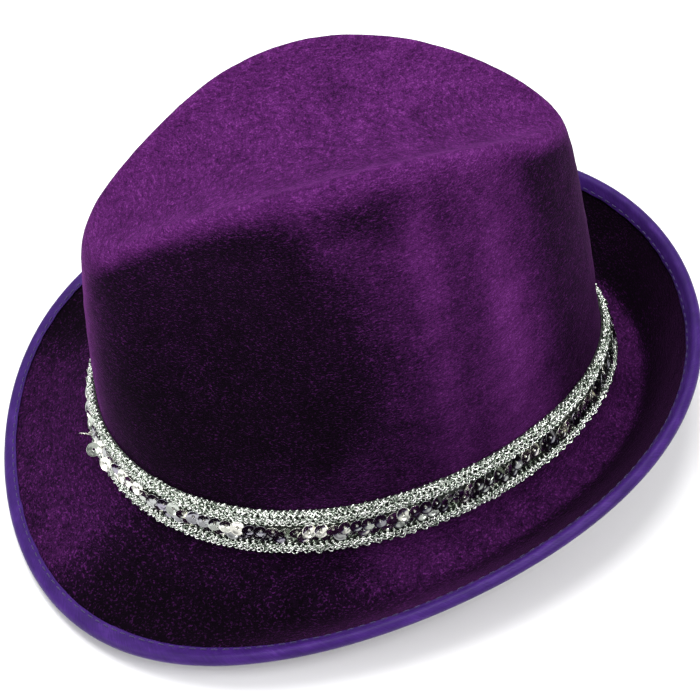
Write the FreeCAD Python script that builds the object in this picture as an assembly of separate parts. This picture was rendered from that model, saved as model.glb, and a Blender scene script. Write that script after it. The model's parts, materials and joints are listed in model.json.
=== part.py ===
import FreeCAD, Part
import math
import os

# Velour party fedora: velour over a moulded felt crown and brim, the crown dented and pinched, the bound brim
# dipping at the front and curling up at the sides and rear, a sequin trim round the crown, a sweatband inside.
# Frame: +Z up, the front of the hat faces -Y, the wearer's left is +X. The origin is on the table, under the
# middle of the brim. Angles go round the hat from the front (0) past the +X side (90) to the rear (180).
# The built hat is moved as a whole at the end, so that the middle of the brim's outline is at x = y = 0 and
# its lowest point is at z = 0.

Vector = FreeCAD.Vector

# ---- driving dimensions, in millimetres and degrees ----

# brim, over its binding
brim_half_length = 143.0
brim_half_width = 126.7
brim_fullness = 0.019  # how much squarer than an ellipse the outline is
brim_egg = 0.10  # how much wider the front half is than the rear half
brim_front_z = 2.5  # height of the edge at the front
brim_side_lift = 3.8
brim_rear_lift = 32.3
brim_front_sag = 1.5  # how far the section hangs below a straight line from crown to edge
brim_side_sag = 14.6
brim_rear_sag = 16.6
brim_curl_start = 28.0  # degrees from the front where the curl begins
brim_curl_full = 92.0

# crown base, where the trim sits
base_half_length = 101.4
base_half_width = 79.1
base_egg = 0.12
base_flare = 3.9  # growth of the base over the height of the trim
base_centre_y = 5.4
base_z = 15.2  # lower edge of the trim, at the sides
base_tilt = 5.0  # the front of the trim is this much higher than its side

# crest, the soft ridge round the top
crest_half_length = 90.0
crest_half_width = 41.0
crest_egg = 0.12
crest_centre_y = 6.3
crest_front_z = 116.0
crest_rear_z = 127.0
crest_arch = 33.4  # rise of the ridge at the sides
crest_pinch = 0.21  # share of the half width taken in by the front pinch
crest_pinch_at = 42.0
crest_pinch_spread = 28.0
crest_shoulder_side = 7.0  # how far the wall stands out beyond the crest, at the sides
crest_shoulder_end = 2.5  # and at the front and rear
crest_shoulder_drop = 9.0

# top of the crown, inside the crest
dent_floor_z = 143.0
dent_cap_half_length = 9.0
dent_cap_half_width = 4.2
rear_groove_depth = 3.0

# dents pinched into the front sides, and the bulge of the wall
pinch_depth = 12.5
pinch_at = 59.0
pinch_spread = 24.0
pinch_height_at = 0.38  # share of the wall's height, from the crest down
pinch_height_spread = 0.27
wall_bulge_side = 4.5
wall_bulge_end = 1.0
rear_fold_depth = 1.6
rear_fold_at = 127.0
rear_fold_spread = 7.0

# layers, from the outside in
glue_line = 0.25
velour_thickness = 0.7
felt_thickness = 1.4
lining_thickness = 0.4
sweatband_thickness = 0.8
sweatband_height = 28.0
sweatband_lower_gap = 2.5

# seams of the felt core, in steps of the section
tip_seam_place = 0.6  # past the crest
tip_seam_gap = 0.04
root_seam_start = 0.35  # the brim's own layers begin this far past the crown's

# satin binding round the edge of the brim
binding_width = 6.6
binding_thickness = 0.4
binding_nose_centre = 0.6  # the rounded nose is centred this far inside the body's edge
binding_clearance = 0.3

# sequin trim
backing_thickness = 0.6
upper_braid_width = 4.6
lower_braid_width = 3.6
braid_depth = 2.0
sequin_diameter = 5.6
sequin_thickness = 0.2
sequin_hole_diameter = 1.0
sequin_pitch = 4.4
sequin_tilt = 9.0
sequin_braid_gap = 0.1  # between a row of sequins and the braid beside it
sequin_thread_gap = 0.62  # between the upper row's threads and the edges of the lower row's sequins
sequin_gap = 0.45  # lower row of sequins over the backing
sequin_row_step = 0.95  # the upper row stands this much further out
thread_diameter = 0.6
thread_above_sequin = 0.25

# three sequins hang loose from the upper row: angle from the front, tilt, and turn of the tilt
loose_sequins_at = ((8.5, 66.0, -40.0), (13.5, 60.0, 46.0), (19.5, 28.0, 45.0))
loose_sequin_gap = 0.4  # over the sequins below
loose_thread_gap = 0.95  # the thread ends this far short of the loose sequin's middle

# sewing thread
stitch_diameter = 0.5
binding_stitch_pitch = 4.2
binding_stitch_length = 2.8
binding_stitch_inset = 1.2  # from the inner edge of the binding
sweatband_stitch_pitch = 6.0
sweatband_stitch_length = 3.6
sweatband_stitch_inset = 2.0

# label and the tab that closes the sweatband, both at the rear inside
label_width = 26.0
label_length = 38.0
label_thickness = 0.35
label_clearance = 0.7
label_hem_diameter = 1.5
label_hem_bore = 0.85
label_drop = 2.0  # from the upper edge of the sweatband to the label's hinge
label_thread_overhang = 1.6  # the thread through the hem goes this far past each end
thread_knot_diameter = 0.75
thread_bite = 0.15  # how deep the thread's ends sink into the sweatband
tab_width = 12.0
tab_height = 20.0
tab_thickness = 0.6

# resolution of the splined surfaces
columns = 96
row_step = 0.315  # in steps of the section
nose_rows = 11
degree = 3

thread_spread = (sequin_diameter + thread_diameter) / 2.0 + sequin_thread_gap
sequin_row_spread = math.sqrt(thread_spread ** 2 - (sequin_pitch / 2.0) ** 2)
sequin_space = sequin_diameter + sequin_row_spread + 2 * sequin_braid_gap
trim_height = lower_braid_width + sequin_space + upper_braid_width

stack_thickness = velour_thickness + felt_thickness + lining_thickness + 2 * glue_line
nose_inner_radius = math.hypot(binding_nose_centre, stack_thickness / 2) + binding_clearance
nose_outer_radius = nose_inner_radius + binding_thickness
edge_inset = nose_outer_radius - binding_nose_centre


# ---- the hat's outer surface, as sections from the top centre to the edge of the brim ----

def blend(value, low, high):
    share = min(max((value - low) / (high - low), 0.0), 1.0)
    return share * share * (3.0 - 2.0 * share)


def bell(value, centre, spread):
    return math.exp(-((value - centre) / spread) ** 2)


def toward_sides(end, side, angle):
    """Goes from the value at the front and rear to the value at the sides."""
    return end + (side - end) * math.sin(angle) ** 2


def from_front(angle):
    """Degrees from the front, the same on both sides."""
    turned = math.degrees(angle) % 360.0
    return min(turned, 360.0 - turned)


def crest_point(angle):
    c = math.cos(angle)
    s = math.sin(angle)
    pinch = 1.0 - crest_pinch * bell(from_front(angle), crest_pinch_at, crest_pinch_spread)
    x = crest_half_width * s * (1.0 + crest_egg * c) * pinch
    y = crest_centre_y - crest_half_length * c
    z = crest_front_z + (crest_rear_z - crest_front_z) * (1.0 - c) / 2.0 + crest_arch * s * s
    return Vector(x, y, z)


def base_point(angle, drop):
    """On the crown base; drop is 0 at the upper edge of the trim and 1 at its lower edge."""
    c = math.cos(angle)
    s = math.sin(angle)
    x = (base_half_width + base_flare * drop) * s * (1.0 + base_egg * c)
    y = base_centre_y - (base_half_length + base_flare * drop) * c
    z = base_z + base_tilt * c + trim_height * (1.0 - drop)
    return Vector(x, y, z)


def edge_point(angle):
    c = math.cos(angle)
    s = math.sin(angle)
    half_width = (brim_half_width - edge_inset) / (1.0 - brim_fullness)
    half_length = (brim_half_length - edge_inset) / (1.0 - brim_fullness)
    x = half_width * (s + brim_fullness * math.sin(3 * angle)) * (1.0 + brim_egg * c)
    y = -half_length * (c - brim_fullness * math.cos(3 * angle))
    z = brim_front_z + brim_side_lift * s * s + brim_rear_lift * (1.0 - c) / 2.0
    return Vector(x, y, z)


def top_point(angle, share):
    """On the dented top; share is 0 at the centre and 1 at the crest."""
    crest = crest_point(angle)
    middle = Vector(0.0, crest_centre_y, dent_floor_z)
    point = middle + (crest - middle) * share
    groove = rear_groove_depth * bell(share, 0.82, 0.13) * bell(from_front(angle), 180.0, 75.0)
    point.z = dent_floor_z + (crest.z - dent_floor_z) * share ** 2.2 - groove
    return point


def wall_point(angle, share):
    """On the wall; share is 0 at the crest's shoulder and 1 at the upper edge of the trim."""
    outward = Vector(math.sin(angle), -math.cos(angle), 0.0)
    shoulder = crest_point(angle) + outward * toward_sides(crest_shoulder_end, crest_shoulder_side, angle)
    shoulder.z -= crest_shoulder_drop
    point = shoulder + (base_point(angle, 0.0) - shoulder) * share
    bulge = toward_sides(wall_bulge_end, wall_bulge_side, angle) * math.sin(math.pi * share)
    degrees = from_front(angle)
    pinch = pinch_depth * bell(degrees, pinch_at, pinch_spread)
    pinch *= bell(share, pinch_height_at, pinch_height_spread)
    fold = rear_fold_depth * bell(degrees, rear_fold_at, rear_fold_spread) * math.sin(math.pi * share)
    return point + outward * (bulge - pinch - fold)


def brim_point(angle, share):
    """On the brim; share is 0 at the crown and 1 at the edge."""
    root = base_point(angle, 1.0)
    edge = edge_point(angle)
    curl = blend(from_front(angle), brim_curl_start, brim_curl_full)
    full_sag = brim_side_sag + (brim_rear_sag - brim_side_sag) * blend(from_front(angle), 90.0, 180.0)
    sag = brim_front_sag + (full_sag - brim_front_sag) * curl
    point = root + (edge - root) * share
    point.z -= sag * math.sin(math.pi * share ** 0.8)
    return point


TOP_SHARES = (0.28, 0.5, 0.7, 0.86)
WALL_SHARES = (0.0, 0.16, 0.33, 0.5, 0.67, 0.84)
BASE_DROPS = (0.0, 0.5, 0.97)
BRIM_SHARES = (0.1, 0.25, 0.4, 0.55, 0.7, 0.85, 1.0)
CREST = 1 + len(TOP_SHARES)
BAND_TOP = CREST + 1 + len(WALL_SHARES)
BAND_LOW = BAND_TOP + len(BASE_DROPS) - 1
EDGE = BAND_LOW + len(BRIM_SHARES)

sections = {}


def section(angle):
    """Control points of one section. CREST, BAND_TOP, BAND_LOW and EDGE are places in this list."""
    key = round(angle, 9)
    if key not in sections:
        c = math.cos(angle)
        s = math.sin(angle)
        points = [Vector(dent_cap_half_width * s, crest_centre_y - dent_cap_half_length * c, dent_floor_z)]
        points += [top_point(angle, share) for share in TOP_SHARES]
        points.append(crest_point(angle) + Vector(0.0, 0.0, 1.5))
        points += [wall_point(angle, share) for share in WALL_SHARES]
        points += [base_point(angle, drop) for drop in BASE_DROPS]
        points += [brim_point(angle, share) for share in BRIM_SHARES]
        sections[key] = points
    return sections[key]


def hat_point(place, angle):
    """Cubic spline through the section; it ends on the first and last control points."""
    points = section(angle)
    last = len(points) - 1
    first = points[0] * 2.0 - points[1]
    beyond = points[last] * 2.0 - points[last - 1]
    index = min(int(place), last - 1)
    t = place - index
    four = [first if index == 0 else points[index - 1], points[index], points[index + 1],
            beyond if index + 2 > last else points[index + 2]]
    weights = ((1 - t) ** 3, 3 * t ** 3 - 6 * t * t + 4, -3 * t ** 3 + 3 * t * t + 3 * t + 1, t ** 3)
    total = Vector()
    for weight, point in zip(weights, four):
        total += point * (weight / 6.0)
    return total


def hat_frame(place, angle):
    """Point, direction down the section, direction round the hat and outward normal."""
    low = max(place - 0.02, 0.0)
    high = min(place + 0.02, float(EDGE))
    down = hat_point(high, angle) - hat_point(low, angle)
    around = hat_point(place, angle + 0.004) - hat_point(place, angle - 0.004)
    down.normalize()
    around.normalize()
    normal = Vector(0.0, 0.0, 1.0) if place == 0.0 else down.cross(around).normalize()
    return hat_point(place, angle), down, around, normal


def angles():
    return [2.0 * math.pi * i / columns for i in range(columns)]


def layer_row(place, depth):
    """A closed row of points at one place of every section, depth below the outer surface."""
    frames = [hat_frame(place, angle) for angle in angles()]
    return [point - normal * depth for point, _, _, normal in frames]


def place_above_band(angle, height):
    """Place on the section whose point is height above the lower edge of the trim."""
    low = float(BAND_TOP - len(WALL_SHARES) + 1)
    high = float(BAND_LOW)
    target = hat_point(BAND_LOW, angle).z + height
    for _ in range(24):
        middle = (low + high) / 2.0
        if hat_point(middle, angle).z > target:
            low = middle
        else:
            high = middle
    return (low + high) / 2.0


def ring_row(height, depth):
    """A closed row at a fixed height above the lower edge of the trim."""
    row = []
    for angle in angles():
        point, _, _, normal = hat_frame(place_above_band(angle, height), angle)
        row.append(point - normal * depth)
    return row


def spread(start, end, count):
    return [start + (end - start) * i / (count - 1) for i in range(count)]


# ---- solids from rows ----

def skin(rows):
    """One spline face through closed rows: periodic round the hat, open across it."""
    count = len(rows)
    across = min(degree, count - 1)
    poles = [[row[i] for row in rows] for i in range(columns)]
    around_knots = [float(i) for i in range(columns + 1)]
    around_mults = [1] * (columns + 1)
    across_knots = [float(i) for i in range(count - across + 1)]
    across_mults = [across + 1] + [1] * (count - across - 1) + [across + 1]
    surface = Part.BSplineSurface()
    surface.buildFromPolesMultsKnots(poles, around_mults, across_mults, around_knots, across_knots,
                                     True, False, degree, across)
    return surface.toShape()


def solid_of(faces):
    shell = Part.makeShell(faces)
    shell.sewShape()
    shell = shell if shell.ShapeType == "Shell" else shell.Shells[0]
    solid = Part.Solid(shell)
    if solid.Volume < 0:
        solid.reverse()
    return solid


def open_ring(outer, inner):
    """A ring with two free edges, such as a ribbon or a folded tape."""
    return solid_of([skin(outer), skin(inner), skin([outer[0], inner[0]]), skin([outer[-1], inner[-1]])])


def domed(outer, inner):
    """A cap: closed by a small flat at its first rows, free at its last rows."""
    faces = [skin(outer), skin(inner), skin([outer[-1], inner[-1]])]
    for face, row in ((faces[0], outer[0]), (faces[1], inner[0])):
        level = row[0].z
        for edge in face.Edges:
            box = edge.BoundBox
            if edge.isClosed() and abs(box.ZMax - level) < 0.01 and abs(box.ZMin - level) < 0.01:
                faces.append(Part.Face(Part.Wire([edge])))
    return solid_of(faces)


def layer_rows(first, last, depth):
    count = int(round((last - first) / row_step)) + 1
    return [layer_row(place, depth) for place in spread(float(first), float(last), count)]


def cap_layer(depth, thickness, last):
    return domed(layer_rows(0, last, depth), layer_rows(0, last, depth + thickness))


def ring_layer(depth, thickness, first, last):
    return open_ring(layer_rows(first, last, depth), layer_rows(first, last, depth + thickness))


felt_depth = velour_thickness + glue_line
lining_depth = felt_depth + felt_thickness + glue_line
sweatband_depth = lining_depth + lining_thickness + glue_line


def velour_cover():
    return cap_layer(0.0, velour_thickness, EDGE)


def crown_tip_core():
    return cap_layer(felt_depth, felt_thickness, CREST + tip_seam_place)


def crown_side_core():
    return ring_layer(felt_depth, felt_thickness, CREST + tip_seam_place + tip_seam_gap, BAND_LOW)


def brim_core():
    return ring_layer(felt_depth, felt_thickness, BAND_LOW + root_seam_start, EDGE)


def crown_lining():
    return cap_layer(lining_depth, lining_thickness, BAND_LOW)


def brim_facing():
    return ring_layer(lining_depth, lining_thickness, BAND_LOW + root_seam_start, EDGE)


# ---- binding ----

def binding_profile(radius):
    """(inward, depth) points of one side of the folded tape: in along the top, round the nose, back below."""
    middle = stack_thickness / 2.0
    step = math.pi / (nose_rows - 1)
    gain = 3.0 / (2.0 + math.cos(step))
    straight = spread(binding_width - edge_inset, binding_nose_centre + 0.8, 4)
    profile = [(inward, middle - radius) for inward in straight]
    for i in range(nose_rows):
        turn = i * step
        inward = binding_nose_centre - radius * gain * math.sin(turn)
        profile.append((inward, middle - radius * gain * math.cos(turn)))
    profile += [(inward, middle + radius) for inward in reversed(straight)]
    return profile


def binding_row(inward, depth):
    row = []
    for angle in angles():
        point, down, _, normal = hat_frame(float(EDGE), angle)
        row.append(point - down * inward - normal * depth)
    return row


def brim_binding():
    outer = [binding_row(*pair) for pair in binding_profile(nose_outer_radius)]
    inner = [binding_row(*pair) for pair in binding_profile(nose_inner_radius)]
    return open_ring(outer, inner)


# ---- things set out along a closed line ----

def walk(point_at, pitch):
    """Angles that divide a closed line into equal steps of about the pitch."""
    fine = 720
    samples = [point_at(2.0 * math.pi * i / fine) for i in range(fine + 1)]
    lengths = [0.0]
    for a, b in zip(samples, samples[1:]):
        lengths.append(lengths[-1] + a.distanceToPoint(b))
    count = max(int(round(lengths[-1] / pitch)), 3)
    found = []
    i = 0
    for k in range(count):
        goal = lengths[-1] * k / count
        while lengths[i + 1] < goal:
            i += 1
        share = (goal - lengths[i]) / (lengths[i + 1] - lengths[i])
        found.append(2.0 * math.pi * (i + share) / fine)
    return found


def placed(shape, origin, x_axis, z_axis):
    """A copy of the shape with its own Z along z_axis and its own X as near to x_axis as it can be."""
    y_axis = z_axis.cross(x_axis).normalize()
    x_axis = y_axis.cross(z_axis).normalize()
    z_axis = z_axis.normalize()
    matrix = FreeCAD.Matrix(x_axis.x, y_axis.x, z_axis.x, origin.x,
                            x_axis.y, y_axis.y, z_axis.y, origin.y,
                            x_axis.z, y_axis.z, z_axis.z, origin.z,
                            0, 0, 0, 1)
    copy = shape.copy()
    copy.Placement = FreeCAD.Placement(matrix)
    return copy


def stitches(frame_at, pitch, length):
    """Short thread bars along a closed line. frame_at gives point, direction round, outward normal."""
    bar = Part.makeCylinder(stitch_diameter / 2.0, length, Vector(-length / 2.0, 0, 0), Vector(1, 0, 0))
    bars = []
    for angle in walk(lambda a: frame_at(a)[0], pitch):
        point, around, normal = frame_at(angle)
        bars.append(placed(bar, point, around, normal))
    return Part.makeCompound(bars)


def binding_stitching():
    def frame_at(angle):
        point, down, around, normal = hat_frame(float(EDGE), angle)
        inward = binding_width - edge_inset - binding_stitch_inset
        height = nose_outer_radius - stack_thickness / 2.0
        return point - down * inward + normal * height, around, normal
    return stitches(frame_at, binding_stitch_pitch, binding_stitch_length)


def sweatband():
    heights = spread(sweatband_lower_gap, sweatband_lower_gap + sweatband_height, 8)
    outer = [ring_row(h, sweatband_depth) for h in heights]
    inner = [ring_row(h, sweatband_depth + sweatband_thickness) for h in heights]
    return open_ring(outer, inner)


def sweatband_stitching():
    def frame_at(angle):
        place = place_above_band(angle, sweatband_lower_gap + sweatband_stitch_inset)
        point, _, around, normal = hat_frame(place, angle)
        return point - normal * (sweatband_depth + sweatband_thickness), around, normal
    return stitches(frame_at, sweatband_stitch_pitch, sweatband_stitch_length)


# ---- sequin trim ----

def trim_frame(angle, height, out):
    """On the trim: height above its lower edge, out from the crown."""
    point, down, around, normal = hat_frame(place_above_band(angle, height), angle)
    return point + normal * out, down * -1.0, around, normal


def band_backing():
    heights = spread(0.0, trim_height, 6)
    outer = [ring_row(h, -glue_line - backing_thickness) for h in heights]
    inner = [ring_row(h, -glue_line) for h in heights]
    return open_ring(outer, inner)


def braid(low, high):
    """A plump cord laid along the backing, flat behind and round in front."""
    back = glue_line + backing_thickness + glue_line
    middle = (low + high) / 2.0
    half = (high - low) / 2.0
    outer = []
    inner = []
    for turn in spread(0.0, math.pi, 9):
        height = middle - half * math.cos(turn)
        outer.append(ring_row(height, -back - 0.2 - braid_depth * math.sin(turn)))
        inner.append(ring_row(height, -back))
    return open_ring(outer, inner)


def band_edge_upper():
    return braid(trim_height - upper_braid_width, trim_height)


def band_edge_lower():
    return braid(0.0, lower_braid_width)


sequin_middle = (lower_braid_width + trim_height - upper_braid_width) / 2.0
sequin_base = 2 * glue_line + backing_thickness + sequin_gap
sequin_lift = sequin_diameter / 2.0 * math.sin(math.radians(sequin_tilt))

# height, distance out from the crown and shift round the hat of the two rows
upper_sequins = (sequin_middle + sequin_row_spread / 2.0, sequin_base + sequin_row_step + sequin_lift, 0.0)
lower_sequins = (sequin_middle - sequin_row_spread / 2.0, sequin_base + sequin_lift, 0.5)


def sequin():
    disc = Part.makeCylinder(sequin_diameter / 2.0, sequin_thickness)
    below = Vector(0, 0, -sequin_thickness)
    hole = Part.makeCylinder(sequin_hole_diameter / 2.0, 3 * sequin_thickness, below)
    return disc.cut(hole)


def sequin_row_angles(shift):
    found = walk(lambda a: trim_frame(a, sequin_middle, sequin_base)[0], sequin_pitch)
    step = 2.0 * math.pi / len(found)
    return [angle + shift * step for angle in found]


def sequin_row(height, out, shift):
    disc = sequin()
    discs = []
    tilt = math.radians(sequin_tilt)
    for angle in sequin_row_angles(shift):
        point, up, around, normal = trim_frame(angle, height, out)
        leaning = normal * math.cos(tilt) + around * math.sin(tilt)
        discs.append(placed(disc, point, up, leaning))
    return Part.makeCompound(discs)


def sequins_upper_row():
    return sequin_row(*upper_sequins)


def sequins_lower_row():
    return sequin_row(*lower_sequins)


def loose_places():
    """For each loose sequin: its place in the upper row, distance out, tilt and turn."""
    height, out, shift = upper_sequins
    row = sequin_row_angles(shift)
    row_top = out + sequin_lift + sequin_thickness
    found = []
    for degrees, tilt, turn in loose_sequins_at:
        goal = math.radians(degrees)
        nearest = min(row, key=lambda angle: abs(angle - goal))
        half_height = sequin_diameter / 2.0 * math.sin(math.radians(tilt)) + sequin_thickness
        out_here = row_top + loose_sequin_gap + half_height
        found.append((nearest, out_here, math.radians(tilt), math.radians(turn)))
    return found


def sequin_thread():
    """The thread that comes up through each sequin's hole; it is longer under the loose sequins."""
    stubs = []
    start = 2 * glue_line + backing_thickness
    loose = {angle: out - loose_thread_gap for angle, out, _, _ in loose_places()}
    for row in (upper_sequins, lower_sequins):
        height, out, shift = row
        for angle in sequin_row_angles(shift):
            end = out + sequin_thickness + thread_above_sequin
            if row is upper_sequins:
                end = loose.get(angle, end)
            point, up, _, normal = trim_frame(angle, height, start)
            stubs.append(placed(Part.makeCylinder(thread_diameter / 2.0, end - start), point, up, normal))
    return Part.makeCompound(stubs)


def loose_sequins():
    """Sequins that have worked loose at the front and stand away from the trim on their threads."""
    disc = sequin()
    discs = []
    for angle, out, tilt, turn in loose_places():
        point, up, around, normal = trim_frame(angle, upper_sequins[0], out)
        sideways = around * math.cos(turn) + up * math.sin(turn)
        leaning = normal * math.cos(tilt) + sideways * math.sin(tilt)
        discs.append(placed(disc, point, normal.cross(sideways), leaning))
    return Part.makeCompound(discs)


# ---- label and tab at the rear inside ----

def inside_band(height, angle):
    """Point and normal on the inner face of the sweatband, at a height above the lower edge of the trim."""
    point, _, _, normal = hat_frame(place_above_band(angle, height), angle)
    return point - normal * (sweatband_depth + sweatband_thickness), normal


def inside_band_y(height, x):
    """How far back the inner face of the sweatband is, at a distance to the side."""
    low = math.radians(120.0)
    high = math.pi
    for _ in range(24):
        middle = (low + high) / 2.0
        if inside_band(height, middle)[0].x > x:
            low = middle
        else:
            high = middle
    return inside_band(height, high)[0].y


def sweatband_join_tab():
    """Small flat tab behind the label, over the place where the ends of the sweatband meet."""
    height = sweatband_lower_gap + sweatband_height / 2.0
    middle, normal = inside_band(height, math.pi)
    nearest = min(inside_band_y(height + step, tab_width / 2.0) + step * normal.z
                  for step in (-tab_height / 2.0, 0.0, tab_height / 2.0))
    bend = middle.y - nearest
    tab = Part.makeBox(tab_width, tab_height, tab_thickness, Vector(-tab_width / 2.0, -tab_height / 2.0, 0.0))
    return placed(tab, middle - normal * (glue_line + tab_thickness + bend), Vector(-1, 0, 0), normal)


def label_hinge():
    """Middle of the bore of the label's hem, clear of the sweatband and of the tab."""
    height = sweatband_lower_gap + sweatband_height - label_drop
    level = inside_band(height, math.pi)[0].z
    beside = [inside_band_y(h, label_width / 2.0) for h in spread(sweatband_lower_gap, height, 5)]
    nearest = min(beside + [sweatband_join_tab().BoundBox.YMin])
    return Vector(0.0, nearest - label_clearance - label_hem_diameter / 2.0, level)


def along_hinge(diameter, length):
    start = label_hinge() - Vector(length / 2.0, 0.0, 0.0)
    return Part.makeCylinder(diameter / 2.0, length, start, Vector(1, 0, 0))


def care_label():
    """A flat label that hangs from a round hem."""
    hinge = label_hinge()
    corner = Vector(-label_width / 2.0, hinge.y - label_thickness / 2.0, hinge.z - label_length)
    flat = Part.makeBox(label_width, label_thickness, label_length, corner)
    hem = along_hinge(label_hem_diameter, label_width)
    return flat.fuse(hem).cut(along_hinge(label_hem_bore, 2 * label_width)).removeSplitter()


def label_stitching():
    """One thread through the hem, sewn to the sweatband at both ends, so that the label swings on it."""
    hinge = label_hinge()
    half = label_width / 2.0 + label_thread_overhang
    height = sweatband_lower_gap + sweatband_height - label_drop
    knot_radius = thread_knot_diameter / 2.0
    reach = inside_band_y(height, half) - hinge.y + knot_radius + thread_bite
    thread = along_hinge(stitch_diameter, 2 * half)
    for side in (-1, 1):
        start = hinge + Vector(side * half, -knot_radius, 0.0)
        thread = thread.fuse(Part.makeCylinder(knot_radius, reach, start, Vector(0, 1, 0)))
    return thread


NODES = (velour_cover, crown_tip_core, crown_side_core, brim_core, crown_lining, brim_facing, brim_binding,
         binding_stitching, sweatband, sweatband_stitching, sweatband_join_tab, care_label, label_stitching,
         band_backing, band_edge_upper, band_edge_lower, sequins_upper_row, sequins_lower_row, sequin_thread,
         loose_sequins)


def build():
    shapes = {make.__name__: make() for make in NODES}
    outline = shapes["brim_binding"].tessellate(0.05)[0]
    lowest = min(p.z for p in outline + shapes["brim_facing"].tessellate(0.05)[0])
    middle = (min(p.y for p in outline) + max(p.y for p in outline)) / 2.0
    stand = Vector(0.0, -middle, -lowest)
    os.makedirs("parts", exist_ok=True)
    for name, shape in shapes.items():
        shape.translate(stand)
        shape.exportStep("parts/" + name + ".step")
        solids = shape.Solids
        valid = all(solid.isValid() and solid.isClosed() for solid in solids)
        print(name, "solids", len(solids), "valid", valid, "volume", round(sum(s.Volume for s in solids), 1))
    hinge = label_hinge() + stand
    print("label hinge", round(hinge.x, 3), round(hinge.y, 3), round(hinge.z, 3))
    print("moved by", round(stand.y, 3), round(stand.z, 3))


build()
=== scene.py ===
import json
import math

import bpy
import numpy as np
from mathutils import Matrix, Vector


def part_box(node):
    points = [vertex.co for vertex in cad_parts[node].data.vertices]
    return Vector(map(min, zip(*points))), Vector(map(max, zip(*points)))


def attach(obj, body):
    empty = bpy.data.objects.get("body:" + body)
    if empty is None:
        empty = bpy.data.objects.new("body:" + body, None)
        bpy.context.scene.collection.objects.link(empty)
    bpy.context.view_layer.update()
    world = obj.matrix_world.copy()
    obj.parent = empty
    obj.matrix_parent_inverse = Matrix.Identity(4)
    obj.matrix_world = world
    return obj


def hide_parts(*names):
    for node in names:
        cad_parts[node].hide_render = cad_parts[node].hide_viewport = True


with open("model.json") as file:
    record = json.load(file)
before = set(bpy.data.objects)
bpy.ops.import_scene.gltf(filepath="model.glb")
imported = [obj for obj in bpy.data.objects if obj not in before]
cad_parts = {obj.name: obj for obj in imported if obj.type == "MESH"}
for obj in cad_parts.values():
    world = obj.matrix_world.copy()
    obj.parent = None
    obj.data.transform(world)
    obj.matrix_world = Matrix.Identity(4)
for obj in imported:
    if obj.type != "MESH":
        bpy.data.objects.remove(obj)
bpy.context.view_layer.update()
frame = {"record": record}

# Velour party fedora. The front faces -Y, the wearer's left is +X, and the hat stands on the floor at z = 0.
# Shapes are worked out in millimetres from the CAD model's driving dimensions and made metres in make_mesh.

# ---- driving dimensions, in millimetres and degrees ----

BRIM_HALF_LENGTH, BRIM_HALF_WIDTH, BRIM_FULLNESS, BRIM_EGG = 143.0, 126.7, 0.019, 0.10
BRIM_FRONT_Z, BRIM_SIDE_LIFT, BRIM_REAR_LIFT = 2.5, 3.8, 32.3
BRIM_FRONT_SAG, BRIM_SIDE_SAG, BRIM_REAR_SAG = 1.5, 14.6, 16.6
BRIM_CURL_START, BRIM_CURL_FULL = 28.0, 92.0

BASE_HALF_LENGTH, BASE_HALF_WIDTH, BASE_EGG, BASE_FLARE = 101.4, 79.1, 0.12, 3.9
BASE_CENTRE_Y, BASE_Z, BASE_TILT = 5.4, 15.2, 5.0

CREST_HALF_LENGTH, CREST_HALF_WIDTH, CREST_EGG, CREST_CENTRE_Y = 90.0, 41.0, 0.12, 6.3
CREST_FRONT_Z, CREST_REAR_Z, CREST_ARCH = 116.0, 127.0, 33.4
CREST_PINCH, CREST_PINCH_AT, CREST_PINCH_SPREAD = 0.21, 42.0, 28.0
CREST_SHOULDER_SIDE, CREST_SHOULDER_END, CREST_SHOULDER_DROP, CREST_POLE_RISE = 7.0, 2.5, 9.0, 1.5

DENT_FLOOR_Z, DENT_CAP_HALF_LENGTH, DENT_CAP_HALF_WIDTH, REAR_GROOVE_DEPTH = 143.0, 9.0, 4.2, 3.0

PINCH_DEPTH, PINCH_AT, PINCH_SPREAD = 12.5, 59.0, 24.0
PINCH_HEIGHT_AT, PINCH_HEIGHT_SPREAD = 0.38, 0.27
WALL_BULGE_SIDE, WALL_BULGE_END = 4.5, 1.0
REAR_FOLD_DEPTH, REAR_FOLD_AT, REAR_FOLD_SPREAD = 1.6, 127.0, 7.0

GLUE_LINE, VELOUR, FELT, LINING = 0.25, 0.7, 1.4, 0.4
SWEATBAND, SWEATBAND_HEIGHT, SWEATBAND_LOWER_GAP = 0.8, 28.0, 2.5
BINDING_WIDTH, BINDING, NOSE_CENTRE, BINDING_CLEARANCE = 6.6, 0.4, 0.6, 0.3
BACKING, UPPER_BRAID, LOWER_BRAID = 0.6, 4.6, 3.6
SEQUIN_DIAMETER, SEQUIN_THICKNESS, SEQUIN_HOLE_DIAMETER, SEQUIN_PITCH, SEQUIN_TILT = 5.6, 0.2, 1.0, 4.4, 9.0
SEQUIN_BRAID_GAP, SEQUIN_THREAD_GAP, SEQUIN_GAP, SEQUIN_ROW_STEP = 0.1, 0.62, 0.45, 0.95
THREAD_DIAMETER, THREAD_ABOVE_SEQUIN, YARN_DIAMETER = 0.6, 0.25, 0.8
LOOSE_SEQUINS_AT = ((8.5, 66.0, -40.0), (13.5, 60.0, 46.0), (19.5, 28.0, 45.0))
LOOSE_SEQUIN_GAP = 0.4

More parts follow.
